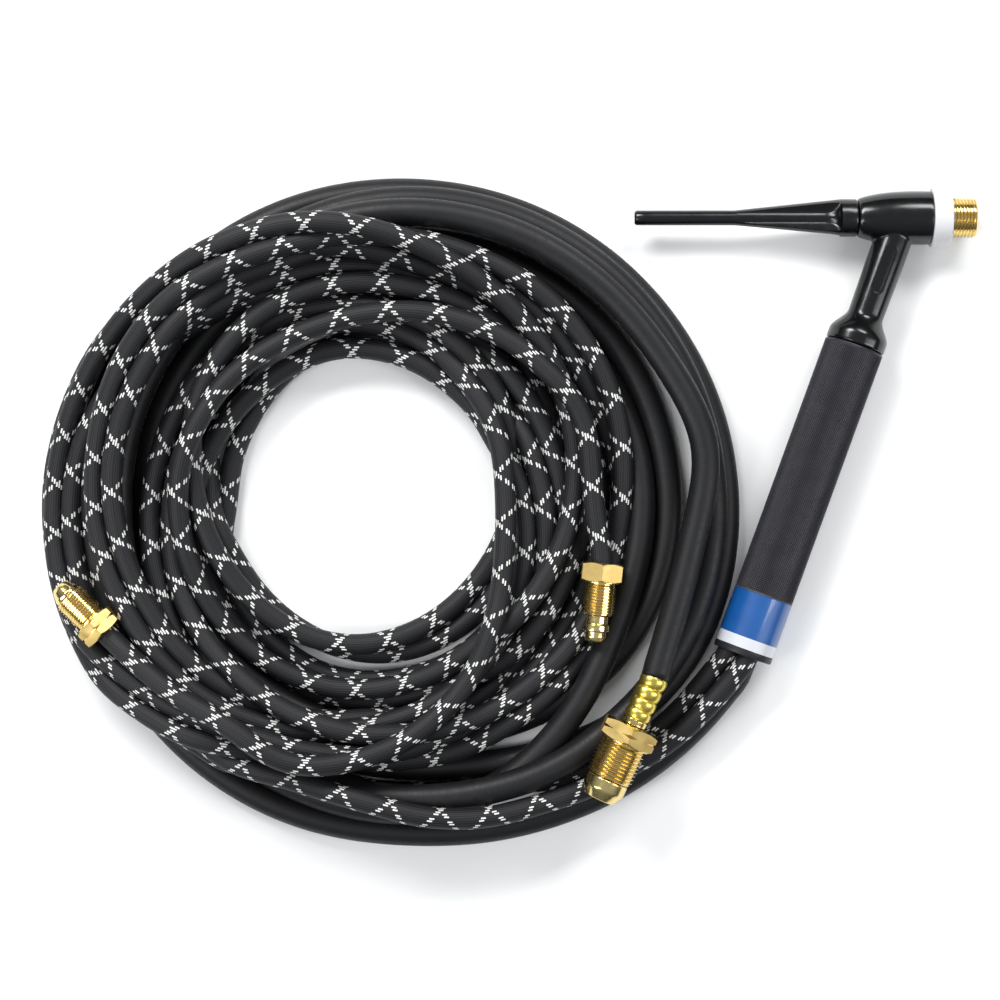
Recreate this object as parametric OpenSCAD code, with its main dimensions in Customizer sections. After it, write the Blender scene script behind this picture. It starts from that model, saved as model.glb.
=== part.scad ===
// Water-cooled TIG torch with its three leads.
// Frame: the head axis is X, the nozzle thread starts at the origin and points along +X,
// the torch lies in the XY plane, and +Z is up from the surface that it lies on.

/* [Head] */
// Angle between the head and a handle square to it, in degrees
neck_tilt = 20; // [0:1:35]
// Length of the moulded head, along the head axis
head_len = 34.6; // [30:0.1:44]
// Radius of the moulded head at its front
head_front_r = 12.65; // [11:0.05:14]
// Radius of the moulded head at its back
head_back_r = 9; // [8.2:0.05:10.5]
// Distance from the nozzle thread's back end to the handle axis
neck_x = 22.8; // [18:0.1:26]
// Radius of the neck next to the head
neck_r = 8.9; // [8:0.05:10.5]
// Distance from the head axis to the end of the neck's bell
neck_len = 64.5; // [55:0.1:80]

/* [Nozzle thread] */
// Major radius of the nozzle thread
thread_r = 9.525; // [8:0.005:11.5]
// Length of the nozzle thread
thread_len = 12.3; // [8:0.1:20]
// Radius of the threaded hole for the collet body
collet_r = 5; // [4:0.05:6]
// Depth of the threaded hole for the collet body
collet_len = 14; // [8:0.5:16]

/* [Heat shield] */
// Length of the heat shield
shield_len = 9; // [6:0.1:14]
// Outer radius of the heat shield
shield_r = 14.1; // [12:0.05:16]

/* [Back cap] */
// Length of the back cap, from its tip to its seat
cap_len = 104; // [40:0.5:140]
// Radius of the back cap's tube
cap_tube_r = 3.55; // [3:0.05:4.5]
// Radius of the back cap's collar
cap_collar_r = 8.9; // [7.5:0.05:10]
// Length of the ribbed part of the back cap
cap_rib_len = 45; // [20:0.5:55]
// Number of ribs on the back cap
cap_ribs = 3; // [3:1:8]
// Radius of the back cap's thread
cap_thread_r = 5.5; // [4.6:0.05:6]
// Length of the back cap's thread
cap_thread_len = 11; // [6:0.5:12]

/* [Handle] */
// Outer radius of the handle
handle_r = 14.2; // [13.6:0.05:18]
// Wall of the handle
handle_wall = 1.7; // [1.2:0.05:2.2]
// Length of the handle
handle_len = 155.5; // [110:0.5:200]
// Length of the label at the handle's end
label_len = 26.4; // [15:0.1:40]

/* [Leads] */
// Radius of the power cable's cover
power_r = 6.6; // [5.5:0.05:7]
// Radius of the braided gas and coolant hoses
hose_r = 5; // [3.5:0.05:5.2]

/* [Fittings] */
// Thread radius of the gas and coolant nuts
nut_r = 7.94; // [7:0.01:9]
// Distance across the flats of the gas and coolant nuts
nut_af = 18.6; // [17:0.1:22]
// Thread length of the gas and coolant nuts
nut_thread_len = 15.5; // [10:0.1:20]
// Thread radius of the power nut
power_nut_r = 11.11; // [10:0.01:12.5]
// Distance across the flats of the power nut
power_nut_af = 25.4; // [24:0.1:30]
// Thread length of the power nut
power_thread_len = 18; // [12:0.1:24]

/* [Hidden] */
$fn = 48;

run_gap = 0.06;     // running clearance, on the radius
seat_gap = 0.3;     // gap between faces that only meet when clamped
chamfer = 1;
floor_z = -14.2;    // the surface that the torch and its leads lie on

head_front_x = -shield_len;
head_back_x = head_front_x - head_len;
boss_r = thread_r - 0.9;          // the plain boss behind the thread, under the heat shield
boss_len = 3;                     // how far the boss runs back inside the shell
core_r = 7.4;
core_back_x = head_back_x + 3.6;
gas_way_r = 2.6;
cap_seat_gap = 1.6;
cap_seat_x = head_back_x - cap_seat_gap;
cap_tip_x = cap_seat_x - cap_len;
cap_bore_r = 2.2;
cap_skirt_len = 11.5;
o_ring_minor_r = 0.6;
o_ring_major_r = cap_thread_r + o_ring_minor_r + 0.15;

neck_mid_r = neck_r - 0.4;
flare_from = neck_len - 15.5;
flare_len = 11;
spigot_len = 12;
handle_bore_r = handle_r - handle_wall;
handle_from = neck_len + seat_gap;
handle_to = handle_from + handle_len;
label_t = 0.15;
label_to = handle_to - 3.3;
label_from = label_to - label_len;

// places in the handle's bore, across and up from its axis
power_uv = [1.8, -5.4];
coolant_uv = [2.5, 6.6];
gas_uv = [-7.1, 2.3];
neck_tube_ring_r = 3.6;   // ring that the metal tubes sit on inside the neck
power_tube_r = 2.4;
gas_tube_r = 2;
tube_wall = 0.6;
tube_from = 5.2;
tube_bend_from = neck_len + spigot_len + 4;
coupler_len = 16;
coupler_to = handle_to - 28;
coupler_from = coupler_to - coupler_len;
tube_bend_to = coupler_from - 12;
coupler_r = 4.3;

hex_len = 9;
stem_r = 3.6;
hose_seat = 5;
power_stem_r = 5;
ferrule_len = 19.5;
ferrule_r = 6.45;
power_collar_len = 3;
power_nut_from = ferrule_len + power_collar_len + seat_gap;

// where each fitting's hose end lies, and the way its nose points, in degrees from +X
gas_fitting_at = [-164.7, -163.2, 13.5];
gas_fitting_turn = -96;
coolant_fitting_at = [-396.7, -196.2, 17.5];
coolant_fitting_turn = 135;
power_fitting_at = [-141.5, -217.7, 22.5];
power_fitting_turn = -115;
bed_room = 1;       // room left in the coils around a fitting, beside it and behind it
bed_len = 60;

// the coils, on the surface
power_coil_at = [-257, -139];
power_coil_profile = [[109, 0], [157.4, 0], [157.4, 10], [147, 24.5], [122, 24.5], [109, 10]];
heap_at = [-283, -135];
heap_inner_r = 60;
heap_split_r = 102;
heap_outer_r = 142;
heap_low = 21;
heap_high = 44;

function along_handle(uv, s) =
    [-neck_x + uv[0] * cos(neck_tilt) - s * sin(neck_tilt),
     -uv[0] * sin(neck_tilt) - s * cos(neck_tilt),
     uv[1]];

// routes of the leads: where each one leaves the handle, then points along the surface
power_lead_route = concat(
    [for (s = [coupler_to, coupler_to + 14, handle_to]) along_handle(power_uv, s)],
    [[-102, -221, -7.2], [-112, -234, -7.6], [-122, -245, -7.6], [-136, -257, -7.6],
     [-150, -267, -7.6], [-167, -276, -7.6], [-186, -282, -7.6], [-206, -285, -7.6]]);
gas_lead_route = concat(
    [for (s = [coupler_to, coupler_to + 14, handle_to]) along_handle(gas_uv, s)],
    [[-109, -211, 0], [-120, -225, -5], [-132, -238, -8], [-147, -248, -8], [-163, -255, -1],
     [-180, -260, 8], [-198, -265, 16], [-218, -269, 19], [-240, -270, 19]]);
coolant_lead_route = concat(
    [for (s = [coupler_to, coupler_to + 14, handle_to]) along_handle(coolant_uv, s)],
    [[-104, -219, 6], [-113, -230, 5], [-124, -241, 5], [-138, -252, 5], [-154, -261, 5],
     [-170, -269, 5], [-187, -274, 6], [-204, -278, 10], [-221, -280, 15], [-240, -280, 18]]);
power_tail_route = [
    [-113, -88, 14], [-114, -106, 15], [-117, -125, 16], [-121, -143, 16], [-125, -162, 16.5],
    [-130, -181, 18], [-136, -200, 21], power_fitting_at];
gas_tail_route = [
    [-175, -105, 6], [-170, -124, 7], [-169, -134, 9], [-168, -143, 11], [-166, -153, 13],
    gas_fitting_at];
coolant_tail_route = [
    [-292, -247, 18], [-315, -245, 19], [-340, -237, 18], [-362, -225, 17], [-378, -213, 17],
    [-388, -204, 17.5], coolant_fitting_at];

function unit(v) = v / norm(v);

function smooth(t) = t * t * (3 - 2 * t);

function handle_way() = [-sin(neck_tilt), -cos(neck_tilt), 0];

function turn_way(turn) = [cos(turn), sin(turn), 0];

function route_tangent(route, i) =
    unit(route[min(i + 1, len(route) - 1)] - route[max(i - 1, 0)]);

function route_ring(centre, along, r, sides) =
    let (side = unit(cross(along, [0, 0, 1])), up = cross(side, along))
    [for (k = [0 : sides - 1]) centre + r * (cos(360 * k / sides) * side + sin(360 * k / sides) * up)];

function route_way(route, i, first, last) =
    i == 0 && first != undef ? first : i == len(route) - 1 && last != undef ? last : route_tangent(route, i);

function route_points(route, r, sides, first, last) =
    [for (i = [0 : len(route) - 1]) each route_ring(route[i], route_way(route, i, first, last), r, sides)];

// faces between the rings of a route, each ring starting at the point number from
function route_walls(from, rings, sides) =
    [for (i = [0 : rings - 2], k = [0 : sides - 1])
        let (a = from + i * sides + k, b = from + i * sides + (k + 1) % sides)
        each [[a, b, b + sides], [a, b + sides, a + sides]]];

function flipped(faces) = [for (f = faces) [f[2], f[1], f[0]]];

// faces across a pipe's end, between the ring at a and the ring at b
function end_faces(a, b, sides) =
    [for (k = [0 : sides - 1]) let (n = (k + 1) % sides)
        each [[a + k, b + k, b + n], [a + k, b + n, a + n]]];

// a solid lead of one radius along a route
module lead(route, r, sides = 8, first = undef, last = undef) {
    end = (len(route) - 1) * sides;
    start_cap = [for (k = [0 : sides - 1]) sides - 1 - k];
    end_cap = [for (k = [0 : sides - 1]) end + k];
    polyhedron(route_points(route, r, sides, first, last),
        concat(route_walls(0, len(route), sides), [start_cap, end_cap]), convexity = 4);
}

// a hollow pipe along a route
module pipe(route, r, bore, sides, way) {
    rings = len(route);
    inner = rings * sides;
    end = (rings - 1) * sides;
    polyhedron(
        concat(route_points(route, r, sides, way, way), route_points(route, bore, sides, way, way)),
        concat(route_walls(0, rings, sides), flipped(route_walls(inner, rings, sides)),
            end_faces(0, inner, sides), flipped(end_faces(end, inner + end, sides))), convexity = 4);
}

// children are drawn along Z and laid along the head axis
module on_head_axis() {
    rotate([0, 90, 0]) children();
}

// children are drawn along Z and laid along the handle, Z = 0 on the head axis
module on_handle_axis() {
    translate([-neck_x, 0, 0]) rotate([0, 0, -neck_tilt]) rotate([90, 0, 0]) children();
}

// children are drawn along Z and laid level, pointing along the turn given
module lie_at(place, turn) {
    translate(place) rotate([0, 0, turn]) rotate([0, 90, 0]) children();
}

module rod(r, from, to) {
    translate([0, 0, from]) cylinder(r = r, h = to - from);
}

// the path of a metal tube, from the neck's ring to its hose's place in the handle
function tube_route(uv, from, to) =
    let (near = neck_tube_ring_r * unit(uv), steps = 6)
    concat(
        [along_handle(near, from)],
        [for (k = [0 : steps])
            along_handle(near + (uv - near) * smooth(k / steps),
                tube_bend_from + (tube_bend_to - tube_bend_from) * k / steps)],
        [along_handle(uv, to)]);

module metal_tube(uv, r) {
    color("peru") pipe(tube_route(uv, tube_from, coupler_from + 6), r, r - tube_wall, 12, handle_way());
}

module neck_tube_hole(uv, r) {
    near = neck_tube_ring_r * unit(uv);
    translate([near[0], near[1], 0]) rod(r, tube_from, neck_len + spigot_len + 1);
}

module neck_tube_holes() {
    on_handle_axis() {
        neck_tube_hole(power_uv, power_tube_r);
        neck_tube_hole(coolant_uv, gas_tube_r);
        neck_tube_hole(gas_uv, gas_tube_r);
    }
}

module coupler(uv, r, tube_r) {
    color("darkgoldenrod") on_handle_axis() translate([uv[0], uv[1], 0]) difference() {
        union() {
            rod(r, coupler_from, coupler_to);
            rod(min(r + 0.5, hose_r), coupler_from + 6, coupler_from + 10);
        }
        rod(tube_r, coupler_from - 1, coupler_from + 6);
        rod(tube_r - tube_wall, coupler_from + 5, coupler_to - 3);
    }
}

module head_core() {
    color("goldenrod") difference() {
        on_head_axis() difference() {
            union() {
                rod(thread_r, 0, thread_len - chamfer);
                rod(boss_r, -shield_len - boss_len, 0);
                translate([0, 0, thread_len - chamfer])
                    cylinder(r1 = thread_r, r2 = thread_r - chamfer, h = chamfer);
                rod(core_r, core_back_x, -shield_len - boss_len);
            }
            rod(collet_r, thread_len - collet_len, thread_len + 1);
            rod(gas_way_r, core_back_x, thread_len);
            rod(cap_thread_r + run_gap, core_back_x - 1, cap_seat_x + cap_thread_len + 1);
        }
        neck_tube_holes();
    }
}

function head_profile_r(t) = head_back_r + (head_front_r - head_back_r) * (1 - pow(1 - t, 3.2));

module head_form() {
    steps = 12;
    on_head_axis() rotate_extrude() polygon(concat(
        [[0, head_back_x]],
        [for (i = [0 : steps]) [head_profile_r(i / steps), head_back_x + head_len * i / steps]],
        [[0, head_front_x]]));
}

module neck_form() {
    steps = 10;
    lip = 1.2;
    on_handle_axis() rotate_extrude() polygon(concat(
        [[0, 0], [neck_r, 0], [neck_r, flare_from / 2]],
        [for (i = [0 : steps])
            [neck_mid_r + (handle_r - neck_mid_r) * smooth(i / steps), flare_from + flare_len * i / steps]],
        [[handle_r, neck_len - lip], [handle_r - lip / 3, neck_len],
         [handle_bore_r, neck_len], [handle_bore_r, neck_len + spigot_len], [0, neck_len + spigot_len]]));
}

module head_shell() {
    color("dimgray") difference() {
        union() {
            head_form();
            neck_form();
        }
        on_head_axis() {
            rod(boss_r, -shield_len - boss_len, 1);
            rod(core_r, core_back_x, 1);
            rod(cap_thread_r + o_ring_minor_r * 2 + 0.6, head_back_x - 1, core_back_x);
        }
        neck_tube_holes();
    }
}

module heat_shield() {
    edge = 0.5;
    color("white") on_head_axis() difference() {
        union() {
            rod(shield_r, -shield_len + seat_gap / 3, -edge);
            translate([0, 0, -edge]) cylinder(r1 = shield_r, r2 = shield_r - edge, h = edge);
        }
        rod(thread_r + run_gap, -shield_len - 1, 1);
    }
}

module cap_rib() {
    rib_t = 2.8;
    translate([0, rib_t / 2, 0]) rotate([90, 0, 0]) linear_extrude(rib_t) polygon([
        [0, cap_seat_x - cap_skirt_len - cap_rib_len],
        [cap_tube_r, cap_seat_x - cap_skirt_len - cap_rib_len],
        [cap_collar_r - 0.3, cap_seat_x - cap_skirt_len + 1],
        [0, cap_seat_x - cap_skirt_len + 1]]);
}

module back_cap() {
    edge = 0.8;
    tip_wall = 6;
    color("dimgray") on_head_axis() difference() {
        union() {
            translate([0, 0, cap_tip_x]) cylinder(r1 = cap_tube_r - edge / 2, r2 = cap_tube_r, h = edge);
            rod(cap_tube_r, cap_tip_x + edge, cap_seat_x);
            translate([0, 0, cap_seat_x - cap_skirt_len - 1])
                cylinder(r1 = cap_collar_r - 2.4, r2 = cap_collar_r, h = 3);
            rod(cap_collar_r, cap_seat_x - cap_skirt_len + 2, cap_seat_x - edge);
            translate([0, 0, cap_seat_x - edge])
                cylinder(r1 = cap_collar_r, r2 = cap_collar_r - edge / 2, h = edge);
            rod(cap_thread_r, cap_seat_x - 1, cap_seat_x + cap_thread_len);
            for (k = [0 : cap_ribs - 1]) rotate([0, 0, 360 * k / cap_ribs]) cap_rib();
        }
        rod(cap_bore_r, cap_tip_x + tip_wall, cap_seat_x + cap_thread_len + 1);
    }
}

module back_cap_o_ring() {
    color("black") on_head_axis() translate([0, 0, cap_seat_x + o_ring_minor_r + 0.1])
        rotate_extrude() translate([o_ring_major_r, 0]) circle(r = o_ring_minor_r, $fn = 24);
}

module gas_tube() {
    metal_tube(gas_uv, gas_tube_r);
}

module coolant_tube() {
    metal_tube(coolant_uv, gas_tube_r);
}

module power_tube() {
    metal_tube(power_uv, power_tube_r);
}

module gas_coupler() {
    coupler(gas_uv, coupler_r, gas_tube_r);
}

module coolant_coupler() {
    coupler(coolant_uv, coupler_r, gas_tube_r);
}

module power_coupler() {
    coupler(power_uv, coupler_r + 0.6, power_tube_r);
}

module handle() {
    color("darkslategray") on_handle_axis() difference() {
        rod(handle_r, handle_from, handle_to);
        rod(handle_bore_r, handle_from - 1, handle_to + 1);
        difference() {
            rod(handle_r + 1, label_from, label_to);
            rod(handle_r - label_t, label_from - 1, label_to + 1);
        }
    }
}

module handle_label() {
    color("steelblue") on_handle_axis() difference() {
        rod(handle_r, label_from, label_to);
        rod(handle_r - label_t, label_from - 1, label_to + 1);
    }
}

module gas_hose_lead() {
    color("gray") lead(gas_lead_route, hose_r, first = handle_way());
}

module coolant_hose_lead() {
    color("gray") lead(coolant_lead_route, hose_r, first = handle_way());
}

module power_cable_lead() {
    color("dimgray") lead(power_lead_route, power_r, 10, first = handle_way());
}

module gas_hose_tail() {
    color("gray") lead(gas_tail_route, hose_r, last = turn_way(gas_fitting_turn));
}

module coolant_hose_tail() {
    color("gray") lead(coolant_tail_route, hose_r, last = turn_way(coolant_fitting_turn));
}

module power_cable_tail() {
    color("dimgray") lead(power_tail_route, power_r, 10, last = turn_way(power_fitting_turn));
}

module power_coil_form(grow = 0) {
    translate([power_coil_at[0], power_coil_at[1], floor_z])
        rotate_extrude($fn = 64) polygon([for (p = power_coil_profile) [
            p[0] + grow * sign(p[0] - 134), p[1] == 0 ? -grow : p[1] + grow]]);
}

// the room that a fitting takes up where it lies in the coils
module fitting_bed(place, turn, af, from = 0) {
    lie_at(place, turn) rod(af / 2 / cos(30) + bed_room, from - bed_room, from + bed_len);
}

module fitting_beds() {
    fitting_bed(gas_fitting_at, gas_fitting_turn, nut_af);
    fitting_bed(coolant_fitting_at, coolant_fitting_turn, nut_af);
    fitting_bed(power_fitting_at, power_fitting_turn, power_nut_af, power_nut_from);
}

module power_cable_coil() {
    color("dimgray") difference() {
        power_coil_form();
        fitting_beds();
    }
}

// a ring of the heap of braided hoses, which lies on the power cable's coil at its left
module heap_ring(inner, outer) {
    slope = atan2(heap_high - heap_low, 2 * heap_outer_r);
    translate([heap_at[0], heap_at[1], floor_z]) difference() {
        cylinder(r = outer, h = heap_high, $fn = 64);
        translate([0, 0, -1]) cylinder(r = inner, h = heap_high + 2, $fn = 64);
        translate([heap_outer_r, 0, heap_low]) rotate([0, slope, 0])
            translate([-3 * heap_outer_r, -2 * heap_outer_r, 0])
                cube([4 * heap_outer_r, 4 * heap_outer_r, heap_high]);
    }
}

module gas_hose_coil() {
    color("gray") difference() {
        heap_ring(heap_inner_r, heap_split_r);
        power_coil_form(0.3);
    }
}

module coolant_hose_coil() {
    color("gray") difference() {
        heap_ring(heap_split_r, heap_outer_r);
        power_coil_form(0.3);
        fitting_beds();
    }
}

module hex_nut(af, thread, thread_len, bore, seat_r, seat_len) {
    difference() {
        union() {
            cylinder(r = af / 2 / cos(30), h = hex_len, $fn = 6);
            rod(thread, hex_len, hex_len + thread_len - chamfer);
            translate([0, 0, hex_len + thread_len - chamfer])
                cylinder(r1 = thread, r2 = thread - chamfer, h = chamfer);
        }
        rod(bore, -1, hex_len + thread_len + 1);
        rod(seat_r, -1, seat_len);
    }
}

module gas_fitting_stem() {
    from = hex_len + nut_thread_len + seat_gap;
    color("goldenrod") lie_at(gas_fitting_at, gas_fitting_turn) difference() {
        union() {
            rod(stem_r, hose_seat, from);
            rod(5.35, from, from + 3.8);
            rod(6.25, from + 3.8, from + 7.6);
            translate([0, 0, from + 7.6]) cylinder(r1 = 4.65, r2 = 3.75, h = 4.6);
        }
        rod(2, hose_seat - 1, from + 14);
    }
}

module gas_fitting_nut() {
    color("gold") lie_at(gas_fitting_at, gas_fitting_turn)
        hex_nut(nut_af, nut_r, nut_thread_len, stem_r + run_gap, hose_r + seat_gap, hose_seat + seat_gap);
}

module coolant_fitting_stem() {
    from = hex_len + nut_thread_len + seat_gap;
    color("goldenrod") lie_at(coolant_fitting_at, coolant_fitting_turn) difference() {
        union() {
            rod(stem_r, hose_seat, from);
            rod(6.35, from, from + 1.6);
            translate([0, 0, from + 1.6]) cylinder(r1 = 6.35, r2 = 3.2, h = 5.2);
        }
        rod(2, hose_seat - 1, from + 8);
    }
}

module coolant_fitting_nut() {
    color("gold") lie_at(coolant_fitting_at, coolant_fitting_turn)
        hex_nut(nut_af, nut_r, nut_thread_len, stem_r + run_gap, hose_r + seat_gap, hose_seat + seat_gap);
}

module power_fitting_stem() {
    from = power_nut_from + hex_len + power_thread_len + seat_gap;
    color("goldenrod") lie_at(power_fitting_at, power_fitting_turn) difference() {
        union() {
            rod(power_stem_r, 0, from);
            rod(5.6, ferrule_len, ferrule_len + power_collar_len);
            rod(10, from, from + 4.2);
            translate([0, 0, from + 4.2]) cylinder(r1 = 10, r2 = 7, h = 6);
        }
        rod(3, ferrule_len, from + 12);
    }
}

module power_fitting_ferrule() {
    color("khaki") lie_at(power_fitting_at, power_fitting_turn) difference() {
        rod(ferrule_r, 0, ferrule_len);
        rod(power_stem_r, -1, ferrule_len + 1);
    }
}

module power_fitting_nut() {
    color("gold") lie_at(power_fitting_at, power_fitting_turn) translate([0, 0, power_nut_from])
        hex_nut(power_nut_af, power_nut_r, power_thread_len, power_stem_r + run_gap,
            power_stem_r + run_gap, 1);
}

head_core();
head_shell();
heat_shield();
back_cap();
back_cap_o_ring();
gas_tube();
coolant_tube();
power_tube();
gas_coupler();
coolant_coupler();
power_coupler();
handle();
handle_label();
gas_hose_lead();
gas_hose_coil();
gas_hose_tail();
coolant_hose_lead();
coolant_hose_coil();
coolant_hose_tail();
power_cable_lead();
power_cable_coil();
power_cable_tail();
gas_fitting_stem();
gas_fitting_nut();
coolant_fitting_stem();
coolant_fitting_nut();
power_fitting_stem();
power_fitting_ferrule();
power_fitting_nut();
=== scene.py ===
import math

import bmesh
import bpy
import numpy as np
from mathutils import Matrix, Vector


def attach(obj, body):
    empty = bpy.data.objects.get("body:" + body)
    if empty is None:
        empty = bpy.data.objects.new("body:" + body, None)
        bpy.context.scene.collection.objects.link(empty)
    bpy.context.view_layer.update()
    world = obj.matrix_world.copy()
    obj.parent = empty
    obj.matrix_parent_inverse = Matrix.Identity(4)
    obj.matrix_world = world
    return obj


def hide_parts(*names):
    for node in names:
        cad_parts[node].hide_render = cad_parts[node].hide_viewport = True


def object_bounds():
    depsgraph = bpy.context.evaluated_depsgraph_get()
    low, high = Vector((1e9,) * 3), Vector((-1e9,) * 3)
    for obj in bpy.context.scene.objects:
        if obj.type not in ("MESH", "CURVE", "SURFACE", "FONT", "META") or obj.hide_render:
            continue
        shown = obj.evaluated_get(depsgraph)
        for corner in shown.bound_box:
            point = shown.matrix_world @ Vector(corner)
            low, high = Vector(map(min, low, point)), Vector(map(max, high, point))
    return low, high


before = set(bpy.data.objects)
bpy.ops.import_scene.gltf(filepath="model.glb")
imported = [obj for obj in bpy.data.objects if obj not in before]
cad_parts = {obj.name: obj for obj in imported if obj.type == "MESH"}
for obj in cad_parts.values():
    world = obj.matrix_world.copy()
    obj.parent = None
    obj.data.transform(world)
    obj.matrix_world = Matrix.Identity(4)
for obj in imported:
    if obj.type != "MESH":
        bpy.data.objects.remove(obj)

cadBox = [[float(value) for value in corner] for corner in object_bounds()]
floorZ = cadBox[0][2]          # the leads lie on the floor, so the model's lowest point is its height
mm = 0.001

# the torch lies flat, with its head along X and its handle tilted away from square
layout = {
    "neckX": -22.8 * mm,       # where the handle's axis meets the head's
    "neckTilt": 20,            # degrees
    "neckEnd": 64.5 * mm,      # distances from here down are measured along the handle from the head's axis
    "handleFrom": 64.8 * mm,
    "knurlTo": 190.6 * mm,
    "labelTo": 217 * mm,
    "handleTo": 220.3 * mm,
    "hoseSteps": [192.3 * mm, 206.3 * mm, 220.3 * mm],   # the leads run straight inside the handle
}


def alongHandle(across, up, distance):
    tilt = math.radians(layout["neckTilt"])
    return [layout["neckX"] + across * math.cos(tilt) - distance * math.sin(tilt),
            -across * math.sin(tilt) - distance * math.cos(tilt), up]


headAxis = Matrix.Rotation(math.radians(90), 4, "Y")
handleAxis = (Matrix.Translation((layout["neckX"], 0, 0))
              @ Matrix.Rotation(math.radians(-layout["neckTilt"]), 4, "Z")
              @ Matrix.Rotation(math.radians(90), 4, "X"))


def fittingAxis(place, turn):
    return Matrix.Translation(place) @ Matrix.Rotation(math.radians(turn), 4, "Z") @ headAxis


# studio
studio = {
    "cameraAt": (-212.9 * mm, -133.7 * mm, 1135.8 * mm),   # straight above, 1.15 m over the floor
    "lens": 86.25,
    "floor": "f4f4f3",
    "softboxes": [                         # place, size, watts
        ((-0.75, 0.75, 0.95), (0.7, 0.35), 17),
        ((0.35, 0.85, 0.9), (0.6, 0.3), 9),
        ((0.75, -0.35, 0.8), (0.25, 0.8), 5),
        ((-0.95, -0.5, 0.8), (0.25, 0.8), 6),
    ],
    "sky": (("20242a", 0.0), ("9aa0a8", 0.5), ("c8ccd2", 1.0)),   # colours from the horizon to overhead
    "skyStrength": 0.75,
}


def srgb(code):
    channels = [int(code[i:i + 2], 16) / 255 for i in (0, 2, 4)]
    return [c / 12.92 if c <= 0.04045 else ((c + 0.055) / 1.055) ** 2.4 for c in channels] + [1]


def addNode(tree, kind, sockets=None, **settings):
    # a node given for a socket stands for its first output
    made = tree.nodes.new("ShaderNode" + kind)
    for name, value in settings.items():
        setattr(made, name, value)
    for key, value in (sockets or {}).items():
        if isinstance(value, bpy.types.Node):
            value = value.outputs[0]
        if isinstance(value, bpy.types.NodeSocket):
            tree.links.new(value, made.inputs[key])
        else:
            made.inputs[key].default_value = value
    return made


def startMaterial(name, **sockets):
    material = bpy.data.materials.new(name)
    material.use_nodes = True
    tree = material.node_tree
    shader = tree.nodes["Principled BSDF"]
    for key, value in sockets.items():
        shader.inputs[key.replace("_", " ")].default_value = value
    return material, tree, shader


def makeStudio():
    scene = bpy.context.scene
    camera = bpy.data.objects.new("camera", bpy.data.cameras.new("camera"))
    scene.collection.objects.link(camera)
    camera.location = studio["cameraAt"]
    camera.data.sensor_width = 36
    camera.data.lens = studio["lens"]
    camera.data.clip_end = 20
    scene.camera = camera
    scene.view_settings.view_transform = "Standard"

    bm = bmesh.new()
    bmesh.ops.create_grid(bm, x_segments=1, y_segments=1, size=4)
    bmesh.ops.translate(bm, vec=(-0.2, -0.13, floorZ - 0.02 * mm), verts=bm.verts)
    mesh = bpy.data.meshes.new("floor")
    bm.to_mesh(mesh)
    bm.free()
    floor = bpy.data.objects.new("floor", mesh)
    scene.collection.objects.link(floor)
    paper, tree, shader = startMaterial("studioPaper", Base_Color=srgb(studio["floor"]), Roughness=0.9)
    shader.inputs["Specular IOR Level"].default_value = 0.1
    mesh.materials.append(paper)

    target = Vector((-0.2, -0.13, 0))
    for number, (place, size, watts) in enumerate(studio["softboxes"]):
        light = bpy.data.lights.new(f"softbox{number}", "AREA")
        light.shape = "RECTANGLE"
        light.size, light.size_y = size
        light.energy = watts
        box = bpy.data.objects.new(f"softbox{number}", light)
        box.location = place
        box.rotation_euler = (target - Vector(place)).to_track_quat("-Z", "Y").to_euler()
        scene.collection.objects.link(box)

    world = bpy.data.worlds.new("studio")
    world.use_nodes = True
    scene.world = world
    # a dark horizon gives glossy edges their contrast
    tree = world.node_tree
    back = tree.nodes["Background"]
    at = addNode(tree, "TexCoord").outputs["Generated"]
    height = addNode(tree, "SeparateXYZ", {0: at}).outputs[2]
    ramp = addNode(tree, "ValToRGB", {0: height})
    for number, (code, place) in enumerate(studio["sky"]):
        stops = ramp.color_ramp.elements
        stop = stops[number] if number < 2 else stops.new(place)
        stop.position, stop.color = place, srgb(code)
    tree.links.new(ramp.outputs[0], back.inputs["Color"])
    back.inputs["Strength"].default_value = studio["skyStrength"]


makeStudio()
print("studio made")

# cord routes, as in the CAD model, in metres, with the heights that the coils and tails are let down from
powerCable = {
    "radius": 6.6 * mm,
    "inHandle": (1.8 * mm, -5.4 * mm),
    "lead": [[-.102, -.221, -.0072], [-.112, -.234, -.0076], [-.122, -.245, -.0076], [-.136, -.257, -.0076],
             [-.150, -.267, -.0076], [-.167, -.276, -.0076], [-.186, -.2835, -.0076], [-.206, -.289, -.0076],
             [-.225, -.292, -.0076]],
    "coilCentre": (-.257, -.139),
    # each turn's radius, height over the floor as it is laid down, and how far it is shifted towards +Y
    "turns": [(.1526, 0, 0), (.126, .014, .0035), (.1128, 0, .004), (.1465, .028, .002), (.1385, .042, .003)],
    "lastAngle": 1692,         # degrees wound, from the side nearest -Y
    "tail": [[-.114, -.106, .036], [-.117, -.125, .040], [-.121, -.143, .044], [-.125, -.162, .048],
             [-.130, -.181, .052], [-.136, -.200, .055], [-.1415, -.2177, .056]],
    "fitting": (-.1415, -.2177, .0225),
    "fittingTurn": -115,
    "fittingShape": [(2, 6.6), (1, 12.7), (3, 11.1), (1, 9.5)],   # steps of the settling, radius in mm
    "step": 8 * mm,
    "twist": 0,
    "smoothing": 10,
}
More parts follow.
